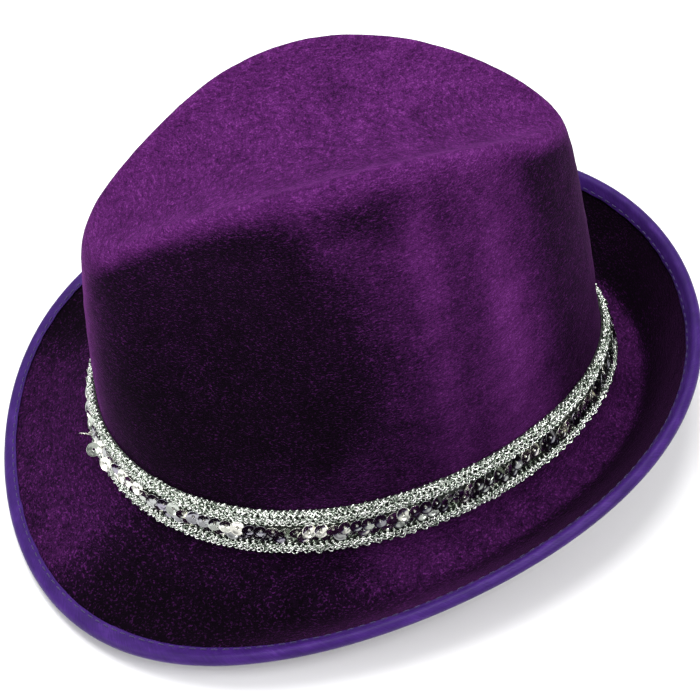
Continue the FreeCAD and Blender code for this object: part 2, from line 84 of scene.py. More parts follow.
STITCH_DIAMETER, BINDING_STITCH_PITCH, BINDING_STITCH_LENGTH, BINDING_STITCH_INSET = 0.5, 4.2, 2.8, 1.2
SWEATBAND_STITCH_PITCH, SWEATBAND_STITCH_LENGTH, SWEATBAND_STITCH_INSET = 6.0, 3.6, 2.0
LABEL_WIDTH, LABEL_LENGTH, LABEL_THICKNESS, LABEL_HEM_DIAMETER, LABEL_DROP = 26.0, 38.0, 0.35, 1.5, 2.0
LABEL_THREAD_OVERHANG, THREAD_BITE, TAB_WIDTH, TAB_HEIGHT, TAB_THICKNESS = 1.6, 0.15, 12.0, 20.0, 0.6
TIP_SEAM_PLACE, TIP_SEAM_GAP, ROOT_SEAM_START = 0.6, 0.04, 0.35

STACK = VELOUR + FELT + LINING + 2 * GLUE_LINE
LINING_DEPTH = VELOUR + FELT + 2 * GLUE_LINE
SWEATBAND_DEPTH = STACK + GLUE_LINE
NOSE_INNER = math.hypot(NOSE_CENTRE, STACK / 2) + BINDING_CLEARANCE
NOSE_OUTER = NOSE_INNER + BINDING
EDGE_INSET = NOSE_OUTER - NOSE_CENTRE
THREAD_SPREAD = (SEQUIN_DIAMETER + THREAD_DIAMETER) / 2 + SEQUIN_THREAD_GAP
SEQUIN_ROW_SPREAD = math.sqrt(THREAD_SPREAD ** 2 - (SEQUIN_PITCH / 2) ** 2)
TRIM_HEIGHT = LOWER_BRAID + UPPER_BRAID + SEQUIN_DIAMETER + SEQUIN_ROW_SPREAD + 2 * SEQUIN_BRAID_GAP
SEQUIN_MIDDLE = (LOWER_BRAID + TRIM_HEIGHT - UPPER_BRAID) / 2
SEQUIN_BASE = 2 * GLUE_LINE + BACKING + SEQUIN_GAP
SEQUIN_LIFT = SEQUIN_DIAMETER / 2 * math.sin(math.radians(SEQUIN_TILT))
UPPER_SEQUINS = (SEQUIN_MIDDLE + SEQUIN_ROW_SPREAD / 2, SEQUIN_BASE + SEQUIN_ROW_STEP + SEQUIN_LIFT, 0.0)
LOWER_SEQUINS = (SEQUIN_MIDDLE - SEQUIN_ROW_SPREAD / 2, SEQUIN_BASE + SEQUIN_LIFT, 0.5)

random = np.random.default_rng(7)


# ---- the hat's outer surface ----

def blend(value, low, high):
    share = np.clip((value - low) / (high - low), 0.0, 1.0)
    return share * share * (3.0 - 2.0 * share)


def bell(value, centre, spread):
    return np.exp(-((value - centre) / spread) ** 2)


def toward_sides(end, side, angle):
    return end + (side - end) * np.sin(angle) ** 2


def from_front(angle):
    turned = np.degrees(angle) % 360.0
    return np.minimum(turned, 360.0 - turned)


def crest_point(angle):
    c, s = np.cos(angle), np.sin(angle)
    pinch = 1.0 - CREST_PINCH * bell(from_front(angle), CREST_PINCH_AT, CREST_PINCH_SPREAD)
    x = CREST_HALF_WIDTH * s * (1.0 + CREST_EGG * c) * pinch
    y = CREST_CENTRE_Y - CREST_HALF_LENGTH * c
    z = CREST_FRONT_Z + (CREST_REAR_Z - CREST_FRONT_Z) * (1.0 - c) / 2.0 + CREST_ARCH * s * s
    return np.stack([x, y, z], -1)


def base_point(angle, drop):
    c, s = np.cos(angle), np.sin(angle)
    x = (BASE_HALF_WIDTH + BASE_FLARE * drop) * s * (1.0 + BASE_EGG * c)
    y = BASE_CENTRE_Y - (BASE_HALF_LENGTH + BASE_FLARE * drop) * c
    z = BASE_Z + BASE_TILT * c + TRIM_HEIGHT * (1.0 - drop)
    return np.stack([x, y, z], -1)


def edge_point(angle):
    c, s = np.cos(angle), np.sin(angle)
    half_width = (BRIM_HALF_WIDTH - EDGE_INSET) / (1.0 - BRIM_FULLNESS)
    half_length = (BRIM_HALF_LENGTH - EDGE_INSET) / (1.0 - BRIM_FULLNESS)
    x = half_width * (s + BRIM_FULLNESS * np.sin(3 * angle)) * (1.0 + BRIM_EGG * c)
    y = -half_length * (c - BRIM_FULLNESS * np.cos(3 * angle))
    z = BRIM_FRONT_Z + BRIM_SIDE_LIFT * s * s + BRIM_REAR_LIFT * (1.0 - c) / 2.0
    return np.stack([x, y, z], -1)


def top_point(angle, share):
    crest = crest_point(angle)
    middle = np.array([0.0, CREST_CENTRE_Y, DENT_FLOOR_Z])
    point = middle + (crest - middle) * share
    groove = REAR_GROOVE_DEPTH * bell(share, 0.82, 0.13) * bell(from_front(angle), 180.0, 75.0)
    point[..., 2] = DENT_FLOOR_Z + (crest[..., 2] - DENT_FLOOR_Z) * share ** 2.2 - groove
    return point


def wall_point(angle, share):
    outward = np.stack([np.sin(angle), -np.cos(angle), 0.0 * angle], -1)
    out = toward_sides(CREST_SHOULDER_END, CREST_SHOULDER_SIDE, angle)
    shoulder = crest_point(angle) + outward * out[:, None]
    shoulder[..., 2] -= CREST_SHOULDER_DROP
    point = shoulder + (base_point(angle, 0.0) - shoulder) * share
    bulge = toward_sides(WALL_BULGE_END, WALL_BULGE_SIDE, angle) * math.sin(math.pi * share)
    degrees = from_front(angle)
    pinch = PINCH_DEPTH * bell(degrees, PINCH_AT, PINCH_SPREAD)
    pinch = pinch * bell(share, PINCH_HEIGHT_AT, PINCH_HEIGHT_SPREAD)
    fold = REAR_FOLD_DEPTH * bell(degrees, REAR_FOLD_AT, REAR_FOLD_SPREAD) * math.sin(math.pi * share)
    return point + outward * (bulge - pinch - fold)[..., None]


def brim_point(angle, share):
    root = base_point(angle, 1.0)
    edge = edge_point(angle)
    curl = blend(from_front(angle), BRIM_CURL_START, BRIM_CURL_FULL)
    full_sag = BRIM_SIDE_SAG + (BRIM_REAR_SAG - BRIM_SIDE_SAG) * blend(from_front(angle), 90.0, 180.0)
    sag = BRIM_FRONT_SAG + (full_sag - BRIM_FRONT_SAG) * curl
    point = root + (edge - root) * share
    point[..., 2] -= sag * math.sin(math.pi * share ** 0.8)
    return point


TOP_SHARES = (0.28, 0.5, 0.7, 0.86)
WALL_SHARES = (0.0, 0.16, 0.33, 0.5, 0.67, 0.84)
BASE_DROPS = (0.0, 0.5, 0.97)
BRIM_SHARES = (0.1, 0.25, 0.4, 0.55, 0.7, 0.85, 1.0)
CREST = 1 + len(TOP_SHARES)
BAND_TOP = CREST + 1 + len(WALL_SHARES)
BAND_LOW = BAND_TOP + len(BASE_DROPS) - 1
EDGE = BAND_LOW + len(BRIM_SHARES)
TIP_END, BRIM_START = CREST + TIP_SEAM_PLACE, BAND_LOW + ROOT_SEAM_START
SIDE_START = TIP_END + TIP_SEAM_GAP
PLACE_STEP, ANGLE_STEP = 0.02, 0.004


def control_points(angle):
    """One section at each angle, with a point beyond each end: an array of angle, place and x, y, z."""
    c, s = np.cos(angle), np.sin(angle)
    cap_y = CREST_CENTRE_Y - DENT_CAP_HALF_LENGTH * c
    cap = np.stack([DENT_CAP_HALF_WIDTH * s, cap_y, np.full(s.shape, DENT_FLOOR_Z)], -1)
    points = [cap] + [top_point(angle, share) for share in TOP_SHARES]
    points.append(crest_point(angle) + np.array([0.0, 0.0, CREST_POLE_RISE]))
    points += [wall_point(angle, share) for share in WALL_SHARES]
    points += [base_point(angle, drop) for drop in BASE_DROPS]
    points += [brim_point(angle, share) for share in BRIM_SHARES]
    points = [points[0] * 2 - points[1]] + points + [points[-1] * 2 - points[-2]]
    return np.stack(points, 1)


def on_sections(sections, place):
    """Cubic spline along each section. place is one number for each section."""
    index = np.clip(np.floor(place).astype(int), 0, EDGE - 1)
    t = (place - index)[:, None]
    rows = np.arange(len(place))
    weights = ((1 - t) ** 3, 3 * t ** 3 - 6 * t * t + 4, -3 * t ** 3 + 3 * t * t + 3 * t + 1, t ** 3)
    return sum(w * sections[rows, index + k] for k, w in enumerate(weights)) / 6.0


def unit(vectors):
    return vectors / np.maximum(np.linalg.norm(vectors, axis=-1, keepdims=True), 1e-9)


def surface(place, angle):
    """Points, directions down the section and round the hat, and outward normals, for flat arrays."""
    place = np.broadcast_to(np.asarray(place, float), angle.shape)
    here = control_points(angle)
    point = on_sections(here, place)
    down = on_sections(here, np.minimum(place + PLACE_STEP, EDGE))
    down = down - on_sections(here, np.maximum(place - PLACE_STEP, 0.0))
    ahead = on_sections(control_points(angle + ANGLE_STEP), place)
    behind = on_sections(control_points(angle - ANGLE_STEP), place)
    down, around = unit(down), unit(ahead - behind)
    return point, down, around, unit(np.cross(down, around))


def place_above_band(angle, height):
    """Place on each section whose point is height above the lower edge of the trim."""
    sections = control_points(angle)
    low = np.full(angle.shape, float(BAND_TOP - len(WALL_SHARES) + 1))
    high = np.full(angle.shape, float(BAND_LOW))
    target = on_sections(sections, high)[:, 2] + height
    for _ in range(22):
        middle = (low + high) / 2.0
        above = on_sections(sections, middle)[:, 2] > target
        low, high = np.where(above, middle, low), np.where(above, high, middle)
    return (low + high) / 2.0


def standing_shift():
    """The CAD model was moved as a whole to stand on the floor; the binding's box says by how much."""
    angle = np.linspace(0.0, 2.0 * math.pi, 721)
    point, down, _, normal = surface(float(EDGE), angle)
    nose = point - down * NOSE_CENTRE - normal * (STACK / 2)
    ring = [nose + down * NOSE_OUTER * math.cos(t) + normal * NOSE_OUTER * math.sin(t)
            for t in np.linspace(0.0, 2.0 * math.pi, 37)]
    ring = np.concatenate(ring)
    low, high = (np.array(corner) * 1000.0 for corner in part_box("brim_binding"))
    y = (low[1] + high[1]) / 2.0 - (ring[:, 1].min() + ring[:, 1].max()) / 2.0
    return np.array([0.0, y, low[2] - ring[:, 2].min()])


SHIFT = standing_shift()


# ---- mesh helpers ----

def make_mesh(name, points, faces, material, uvs=None):
    """points in millimetres before the shift; uvs, one pair for each face corner, in millimetres."""
    mesh = bpy.data.meshes.new(name)
    metres = (np.asarray(points, float) + SHIFT) / 1000.0
    mesh.from_pydata([], [], [])
    mesh.vertices.add(len(metres))
    mesh.vertices.foreach_set("co", metres.ravel())
    corners = np.concatenate([np.asarray(f, np.int32).ravel() for f in faces])
    sizes = np.concatenate([np.full(len(f), np.asarray(f).shape[1], np.int32) for f in faces])
    starts = np.concatenate([[0], np.cumsum(sizes)[:-1]]).astype(np.int32)
    mesh.loops.add(len(corners))
    mesh.loops.foreach_set("vertex_index", corners)
    mesh.polygons.add(len(sizes))
    mesh.polygons.foreach_set("loop_start", starts)
    mesh.polygons.foreach_set("loop_total", sizes)
    if uvs is not None:
        flat = mesh.uv_layers.new(name="UVMap")
        flat.data.foreach_set("uv", np.concatenate([np.asarray(u, float).ravel() for u in uvs]) / 1000.0)
    mesh.update(calc_edges=True)
    mesh.validate()
    mesh.polygons.foreach_set("use_smooth", np.full(len(mesh.polygons), True))
    mesh.materials.append(material)
    obj = bpy.data.objects.new(name, mesh)
    bpy.context.scene.collection.objects.link(obj)
    return obj


def grid_faces(rows, columns, wrap_rows=False, offset=0):
    """Quads between rows of points that close round the hat."""
    r = np.arange(rows if wrap_rows else rows - 1)[:, None]
    c = np.arange(columns)[None, :]
    a = r * columns + c
    b = r * columns + (c + 1) % columns
    below = ((r + 1) % rows) * columns
    quads = np.stack([a, below + c, below + (c + 1) % columns, b], -1)
    return quads.reshape(-1, 4) + offset


def grid_uvs(points, wrap_rows=False):
    """Distances round and across the strip for each corner of grid_faces, in millimetres."""
    rows, columns = points.shape[:2]
    closed = np.concatenate([points, points[:, :1]], 1)
    step = np.linalg.norm(np.diff(closed, axis=1), axis=-1).mean(0)
    u = np.concatenate([[0.0], np.cumsum(step)])
    whole = np.concatenate([points, points[:1]], 0) if wrap_rows else points
    v = np.concatenate([[0.0], np.cumsum(np.linalg.norm(np.diff(whole, axis=0), axis=-1).mean(1))])
    c, r = np.meshgrid(np.arange(columns), np.arange(rows if wrap_rows else rows - 1))
    corners = [np.stack([u[c], v[r]], -1), np.stack([u[c], v[r + 1]], -1),
               np.stack([u[c + 1], v[r + 1]], -1), np.stack([u[c + 1], v[r]], -1)]
    return np.stack(corners, 2).reshape(-1, 2)


def loop_angles(columns):
    """Starting at the rear, so that the seam of each strip is there."""
    return math.pi + 2.0 * math.pi * np.arange(columns) / columns


def bands(name, strips, material, wrap_rows=True):
    """Closed strips round the hat in one piece; with wrap_rows the last row of each joins its first."""
    faces, uvs, start = [], [], 0
    for points in strips:
        faces.append(grid_faces(len(points), points.shape[1], wrap_rows, start))
        uvs.append(grid_uvs(points, wrap_rows))
        start += points.shape[0] * points.shape[1]
    return make_mesh(name, np.concatenate([p.reshape(-1, 3) for p in strips]), faces, material, uvs)


def rings(profile, sides):
    """Points of a turned shape about its own Z from (radius, height) pairs."""
    turn = 2 * math.pi * np.arange(sides) / sides
    return np.array([[(r * math.cos(t), r * math.sin(t), z) for t in turn] for r, z in profile])


def scatter(name, shape, places, material, tones=None, capped=True):
    """Copies of a small shape, rows of rings, at (origins, x axes, y axes, z axes)."""
    rows, sides = shape.shape[:2]
    local = shape.reshape(-1, 3)
    origin, *axes = places
    parts = [local[None, :, k, None] * axis[:, None, :] for k, axis in enumerate(axes)]
    points = origin[:, None, :] + sum(parts)
    shift = np.arange(len(origin))[:, None, None] * rows * sides
    faces = [(grid_faces(rows, sides, not capped)[None] + shift).reshape(-1, 4)]
    if capped:
        faces.append((np.arange(sides)[::-1][None, None] + shift).reshape(-1, sides))
        faces.append((np.arange(sides)[None, None] + (rows - 1) * sides + shift).reshape(-1, sides))
    obj = make_mesh(name, points.reshape(-1, 3), faces, material)
    if tones is not None:
        tone = obj.data.attributes.new("tone", "FLOAT", "POINT")
        tone.data.foreach_set("value", np.repeat(tones, rows * sides))
    return obj


def cloth_patch(name, point_at, columns, rows, thickness, material):
    """A small sheet: point_at takes two grids from 0 to 1 and gives its middle surface."""
    u, v = np.meshgrid(np.linspace(0, 1, columns), np.linspace(0, 1, rows))
    points = point_at(u, v)
    index = np.arange(rows * columns).reshape(rows, columns)
    quads = np.stack([index[:-1, :-1], index[1:, :-1], index[1:, 1:], index[:-1, 1:]], -1).reshape(-1, 4)
    across = np.linalg.norm(np.diff(points, axis=1), axis=-1).sum(1).max()
    along = np.linalg.norm(np.diff(points, axis=0), axis=-1).sum(0).max()
    uv = np.stack([u * across, v * along], -1).reshape(-1, 2)
    obj = make_mesh(name, points.reshape(-1, 3), [quads], material, [uv[quads]])
    thick = obj.modifiers.new("thickness", "SOLIDIFY")
    thick.thickness, thick.offset = thickness / 1000.0, 0.0
    return obj


def even_angles(line_at, pitch, per=1):
    """Angles that divide a closed line into equal steps of about the pitch, each cut into per parts."""
    angle = np.linspace(0.0, 2 * math.pi, 721)
    lengths = np.concatenate([[0.0], np.cumsum(np.linalg.norm(np.diff(line_at(angle), axis=0), axis=-1))])
    count = int(round(lengths[-1] / pitch)) * per
    return np.interp(lengths[-1] * np.arange(count) / count, lengths, angle)


def tube(points, normals, radius, sides):
    """Rows of points round a closed line; normals only say which way is up."""
    along = unit(np.roll(points, -1, 0) - np.roll(points, 1, 0))
    side = unit(np.cross(along, normals))
    top = np.cross(side, along)
    turn = 2 * math.pi * np.arange(sides) / sides
    return np.stack([points + radius * (math.cos(t) * side + math.sin(t) * top) for t in turn])


def give(obj, body="hat", replaces=()):
    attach(obj, body)
    if replaces:
        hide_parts(*replaces)
    return obj


def lattice(ix, iy, iz, seed):
    """A fixed pseudo-random number from 0 to 1 for each lattice point."""
    h = (ix * 374761393 + iy * 668265263 + iz * 2147483647 + seed * 974634777).astype(np.int64)
    h = (h ^ (h >> 13)) * 1274126177
    return ((h ^ (h >> 16)) & 0xFFFF) / 65535.0


def noise(points, size, seed):
    """Smooth noise from -1 to 1 with features of about that size."""
    p = points / size
    low = np.floor(p).astype(np.int64)
    f = p - low
    f = f * f * (3 - 2 * f)
    total = 0.0
    for dx in (0, 1):
        for dy in (0, 1):
            for dz in (0, 1):
                weight = ((f[..., 0] if dx else 1 - f[..., 0]) * (f[..., 1] if dy else 1 - f[..., 1])
                          * (f[..., 2] if dz else 1 - f[..., 2]))
                total = total + weight * lattice(low[..., 0] + dx, low[..., 1] + dy, low[..., 2] + dz, seed)
    return total * 2 - 1


# ---- materials ----

class Nodes:
    """A material's node tree with short calls: add makes a node, link joins two sockets."""

    def __init__(self, name, **constants):
        self.material = bpy.data.materials.new(name)
        self.material.use_nodes = True
        self.tree = self.material.node_tree
        self.shader = self.tree.nodes["Principled BSDF"]
        for socket, value in constants.items():
            self.shader.inputs[socket.replace("_", " ")].default_value = value

    def add(self, kind, inputs=(), **settings):
        node = self.tree.nodes.new("ShaderNode" + kind)
        for key, value in settings.items():
            setattr(node, key, value)
        for key, value in dict(inputs).items():
            if isinstance(value, bpy.types.NodeSocket):
                self.tree.links.new(value, node.inputs[key])
            else:
                node.inputs[key].default_value = value
        return node

    def link(self, output, socket):
        self.tree.links.new(output, self.shader.inputs[socket])

    def noise(self, vector, scale, detail=3.0):
        return self.add("TexNoise", {"Vector": vector, "Scale": scale, "Detail": detail,
                                     "Roughness": 0.55}).outputs["Fac"]

    def stretched(self, coordinates, scale):
        return self.add("Mapping", {"Vector": coordinates, "Scale": scale}).outputs["Vector"]

    def maths(self, operation, *values):
        return self.add("Math", dict(enumerate(values)), operation=operation).outputs[0]

    def ramp(self, factor, *stops):
        node = self.add("ValToRGB", {"Fac": factor})
        elements = node.color_ramp.elements
        while len(elements) < len(stops):
            elements.new(0.5)
        for element, (place, colour) in zip(elements, stops):
            element.position = place
            element.color = (*colour, 1.0)
        return node.outputs["Color"]

    def bump(self, height, distance, strength=1.0):
        node = self.add("Bump", {"Height": height, "Distance": distance, "Strength": strength})
        self.link(node.outputs["Normal"], "Normal")


def velour_material():
    """Crushed pile: fine grain, short streaks, cloudy patches and lit fibres as painted highlights; the nap,
    with painted light and shade, is set on the mesh.
    """
    m = Nodes("velour", Roughness=0.9, Specular_IOR_Level=0.03, Sheen_Weight=0.12, Sheen_Roughness=0.35,
              Sheen_Tint=(0.55, 0.12, 0.66, 1.0))
    place = m.add("TexCoord").outputs["Object"]
    # the nap attribute holds painted light and shade together with how the pile lies
    nap_and_painted_light = m.add("Attribute", attribute_name="nap_and_painted_light").outputs["Fac"]
    grain = m.noise(m.stretched(place, (1500.0, 1500.0, 3000.0)), 1.0, 2.0)
    streak = m.noise(m.stretched(place, (420.0, 420.0, 1600.0)), 1.0, 3.0)
    patch = m.noise(m.stretched(place, (95.0, 95.0, 130.0)), 1.0, 3.0)
    cloud = m.noise(m.stretched(place, (22.0, 22.0, 26.0)), 1.0, 2.0)
    total = m.maths("ADD", nap_and_painted_light, m.maths("MULTIPLY_ADD", grain, 0.6, -0.33))
    for source, weight in ((streak, 0.50), (patch, 0.26), (cloud, 0.20)):
        total = m.maths("ADD", total, m.maths("MULTIPLY_ADD", source, weight, -weight / 2.0))
    specks = m.noise(m.stretched(place, (900.0, 900.0, 2600.0)), 1.0, 1.0)
    # dark pile and painted shade; the lit fibres are specks of painted highlight put into it
    pressed_and_shaded = m.maths("MULTIPLY", m.maths("SUBTRACT", 1.0, nap_and_painted_light), 0.32)
    lit_fibres = m.maths("MULTIPLY", m.maths("GREATER_THAN", specks, 0.61), pressed_and_shaded)
    total = m.maths("ADD", total, lit_fibres)
    colour = m.ramp(total, (0.0, (0.0015, 0.0004, 0.0018)), (0.25, (0.0058, 0.0011, 0.0078)),
                    (0.45, (0.026, 0.0040, 0.034)), (0.65, (0.064, 0.0092, 0.080)),
                    (1.0, (0.178, 0.034, 0.212)))
    m.link(colour, "Base Color")
    relief = m.maths("ADD", m.maths("MULTIPLY", grain, 0.5), streak)
    m.bump(relief, 0.0006, 0.55)
    return m.material


def satin_material():
    """Bias-cut satin tape: fine diagonal threads, soft shine and slight shading along its length."""
    m = Nodes("satin_binding", Roughness=0.45, Specular_IOR_Level=0.12, Sheen_Weight=0.05,
              Sheen_Roughness=0.3, Sheen_Tint=(0.4, 0.25, 1.0, 1.0))
    uv = m.add("TexCoord").outputs["UV"]
    bias = (0.0, 0.0, math.radians(45.0))
    turned = m.add("Mapping", {"Vector": uv, "Rotation": bias}).outputs["Vector"]
    threads = m.noise(m.stretched(turned, (2600.0, 160.0, 1.0)), 1.0, 2.0)
    shade = m.noise(m.stretched(uv, (90.0, 260.0, 1.0)), 1.0, 2.0)
    factor = m.maths("ADD", m.maths("MULTIPLY", threads, 0.45), m.maths("MULTIPLY", shade, 0.6))
    m.link(m.ramp(factor, (0.25, (0.015, 0.004, 0.054)), (0.55, (0.032, 0.008, 0.104)),
                  (0.85, (0.070, 0.022, 0.190))), "Base Color")
    m.bump(threads, 0.00015, 0.5)
    return m.material


def woven_material(name, dark, light, pitch, roughness=0.85, sheen=0.15, ribs=False):
    """Plain weave, or ribs across the tape as in grosgrain; pitch is from thread to thread in metres."""
    m = Nodes(name, Roughness=roughness, Specular_IOR_Level=0.25, Sheen_Weight=sheen, Sheen_Roughness=0.5)
    uv = m.add("TexCoord").outputs["UV"]
    waves = {"Vector": uv, "Scale": 0.314 / pitch, "Distortion": 0.4}
    across, along = (m.add("TexWave", waves, wave_type="BANDS", bands_direction=way).outputs["Fac"]
                     for way in "XY")
    weave = across if ribs else m.maths("MAXIMUM", across, along)
    speck = m.noise(m.stretched(uv, (1400.0, 1400.0, 1.0)), 1.0, 3.0)
    factor = m.maths("ADD", m.maths("MULTIPLY", weave, 0.55), m.maths("MULTIPLY", speck, 0.5))
    m.link(m.ramp(factor, (0.2, dark), (0.85, light)), "Base Color")
    m.bump(weave, pitch * 0.4, 0.7)
    return m.material


def thread_material(name, dark, light):
    """Sewing thread with its twist as a fine change of colour and relief."""
    m = Nodes(name, Roughness=0.6, Specular_IOR_Level=0.35, Sheen_Weight=0.2)
    place = m.add("TexCoord").outputs["Object"]
    twist = m.noise(m.stretched(place, (2600.0, 2600.0, 2600.0)), 1.0, 2.0)
    m.link(m.ramp(twist, (0.3, dark), (0.75, light)), "Base Color")
    m.bump(twist, 0.00012, 0.6)
    return m.material


def lurex_material():
    """Silver metallised yarn: sharp glints and dark gaps, tarnished green-grey."""
    m = Nodes("lurex", Metallic=0.95, Roughness=0.2)
    place = m.add("TexCoord").outputs["Object"]
    turn = m.noise(m.stretched(place, (1150.0, 1150.0, 1150.0)), 1.0, 1.0)
    tone = m.noise(m.stretched(place, (520.0, 520.0, 520.0)), 1.0, 2.0)
    factor = m.maths("ADD", m.maths("MULTIPLY", turn, 0.65), m.maths("MULTIPLY", tone, 0.35))
    m.link(m.ramp(factor, (0.38, (0.050, 0.068, 0.050)), (0.46, (0.36, 0.42, 0.35)),
                  (0.53, (0.86, 0.90, 0.83)), (0.60, (1.0, 1.0, 0.98))), "Base Color")
    m.link(m.ramp(turn, (0.35, (0.10,) * 3), (0.65, (0.36,) * 3)), "Roughness")
    m.bump(turn, 0.0003, 0.9)
    return m.material


def sequin_material():
    """Silver film with faint handling marks; tone differs from one sequin to the next."""
    m = Nodes("sequin_film", Metallic=1.0, Roughness=0.1)
    place = m.add("TexCoord").outputs["Object"]
    tone = m.add("Attribute", attribute_name="tone").outputs["Fac"]
    marks = m.noise(m.stretched(place, (1500.0, 1500.0, 1500.0)), 1.0, 3.0)
    factor = m.maths("ADD", m.maths("MULTIPLY", tone, 0.7), m.maths("MULTIPLY", marks, 0.3))
    m.link(m.ramp(factor, (0.15, (0.26, 0.24, 0.30)), (0.6, (0.46, 0.50, 0.44)),
                  (0.75, (0.92, 0.91, 0.82))), "Base Color")
    m.link(m.ramp(marks, (0.3, (0.08,) * 3), (0.8, (0.26,) * 3)), "Roughness")
    m.bump(marks, 0.00004, 0.35)
    return m.material


def cloth_material(name, dark, light):
    """Brushed cloth or felt with no pile direction."""
    m = Nodes(name, Roughness=0.9, Specular_IOR_Level=0.15, Sheen_Weight=0.35, Sheen_Roughness=0.5)
    place = m.add("TexCoord").outputs["Object"]
    fibre = m.noise(m.stretched(place, (1500.0, 1500.0, 1500.0)), 1.0, 4.0)
    patch = m.noise(m.stretched(place, (60.0, 60.0, 60.0)), 1.0, 3.0)
    factor = m.maths("ADD", m.maths("MULTIPLY", fibre, 0.65), m.maths("MULTIPLY", patch, 0.35))
    m.link(m.ramp(factor, (0.32, dark), (0.72, light)), "Base Color")
    m.bump(fibre, 0.0003, 0.6)
    return m.material


def floor_material():
    m = Nodes("floor", Roughness=0.75, Specular_IOR_Level=0.2)
    place = m.add("TexCoord").outputs["Object"]
    m.link(m.ramp(m.noise(place, 3.0), (0.0, (0.88, 0.88, 0.885)), (1.0, (0.90, 0.90, 0.905))), "Base Color")
    return m.material


# ---- camera, light and floor ----

def make_camera():
    azimuth, elevation, roll = math.radians(86.23), math.radians(46.34), math.radians(-10.1)
    distance, target = 0.7107, Vector((0.0, 0.0045, 0.0317))
    back = Vector((math.sin(azimuth) * math.cos(elevation), -math.cos(azimuth) * math.cos(elevation),
                   math.sin(elevation)))
    right = (-back).cross(Vector((0.0, 0.0, 1.0))).normalized()
    up = back.cross(right)
    right, up = right * math.cos(roll) + up * math.sin(roll), up * math.cos(roll) - right * math.sin(roll)
    data = bpy.data.cameras.new("camera")
    data.sensor_width, data.lens = 36.0, 91.4
    data.clip_start, data.clip_end = 0.01, 20.0
    camera = bpy.data.objects.new("camera", data)
    turn = Matrix((right, up, back)).transposed().to_4x4()
    camera.matrix_world = Matrix.Translation(target + back * distance) @ turn
    bpy.context.scene.collection.objects.link(camera)
    bpy.context.scene.camera = camera


def add_light(name, place, target, size, power, colour=(1.0, 1.0, 1.0)):
    data = bpy.data.lights.new(name, "AREA")
    data.shape, data.size, data.energy, data.color = "DISK", size, power, colour
    light = bpy.data.objects.new(name, data)
    light.location = place
    light.rotation_euler = (Vector(target) - Vector(place)).to_track_quat("-Z", "Y").to_euler()
    bpy.context.scene.collection.objects.link(light)


def make_studio():
    add_light("overhead", (-0.25, 0.0, 1.3), (0.0, 0.0, 0.05), 1.0, 18.0)
    add_light("key", (0.75, 0.55, 0.95), (0.0, 0.0, 0.06), 0.6, 9.0)
    add_light("front_fill", (0.25, -1.1, 0.6), (0.0, 0.0, 0.06), 0.7, 6.0)
    world = bpy.data.worlds.new("studio")
    world.use_nodes = True
    nodes, links = world.node_tree.nodes, world.node_tree.links
    coordinates, patches = nodes.new("ShaderNodeTexCoord"), nodes.new("ShaderNodeTexNoise")
    patches.inputs["Scale"].default_value, patches.inputs["Detail"].default_value = 1.7, 1.0
    softboxes = nodes.new("ShaderNodeValToRGB")
    dark, bright = softboxes.color_ramp.elements
    dark.position, dark.color = 0.40, (0.30, 0.30, 0.31, 1.0)
    bright.position, bright.color = 0.56, (1.0, 1.0, 1.0, 1.0)
    links.new(coordinates.outputs["Generated"], patches.inputs["Vector"])
    links.new(patches.outputs["Fac"], softboxes.inputs["Fac"])
    links.new(softboxes.outputs["Color"], nodes["Background"].inputs["Color"])
    nodes["Background"].inputs["Strength"].default_value = 0.95
    bpy.context.scene.world = world
    bpy.context.scene.view_settings.view_transform = "Standard"
    bpy.ops.mesh.primitive_plane_add(size=12.0)
    floor = bpy.context.object
    floor.name = "floor"
    floor.data.materials.append(floor_material())


# ---- velour, linings and cores ----

